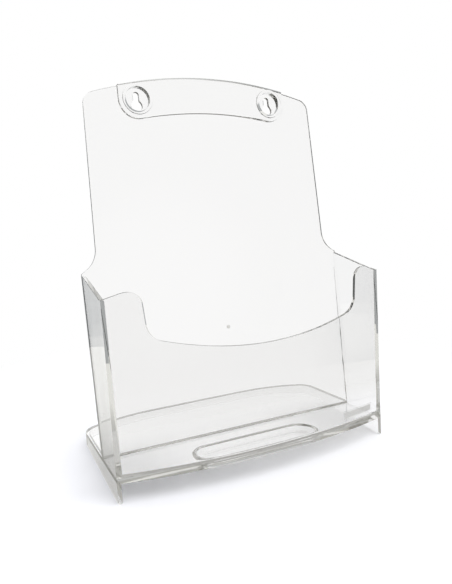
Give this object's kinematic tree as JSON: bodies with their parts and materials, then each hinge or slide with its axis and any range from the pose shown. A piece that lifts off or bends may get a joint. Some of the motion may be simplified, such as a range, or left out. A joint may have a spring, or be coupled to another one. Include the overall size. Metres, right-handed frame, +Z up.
{
  "type": "magazine rack",
  "caption": "Clear plastic magazine rack: leaning back panel with two keyhole bosses, pocket with a bowed front and a wide U cut-out, and a flat stand behind.",
  "frame": {"origin": "on the table, under the middle of the holder's footprint (bottom centre of the bounding box)", "axes": "+Z up; -Y to the front, where the pocket opens to the reader; +X to the right as seen from the front"},
  "size_m": [0.235, 0.1519, 0.308],
  "materials": {
    "clear_plastic": "clear, polished mould finish"
  },
  "bodies": {
    "root": {"floor_plate": "clear_plastic", "dish": "clear_plastic", "left_skirt": "clear_plastic", "right_skirt": "clear_plastic", "rear_rim": "clear_plastic", "front_panel": "clear_plastic", "left_wall": "clear_plastic", "right_wall": "clear_plastic", "back_panel": "clear_plastic", "mounting_band": "clear_plastic", "left_keyhole_boss": "clear_plastic", "right_keyhole_boss": "clear_plastic"}
  },
  "joints": []
}
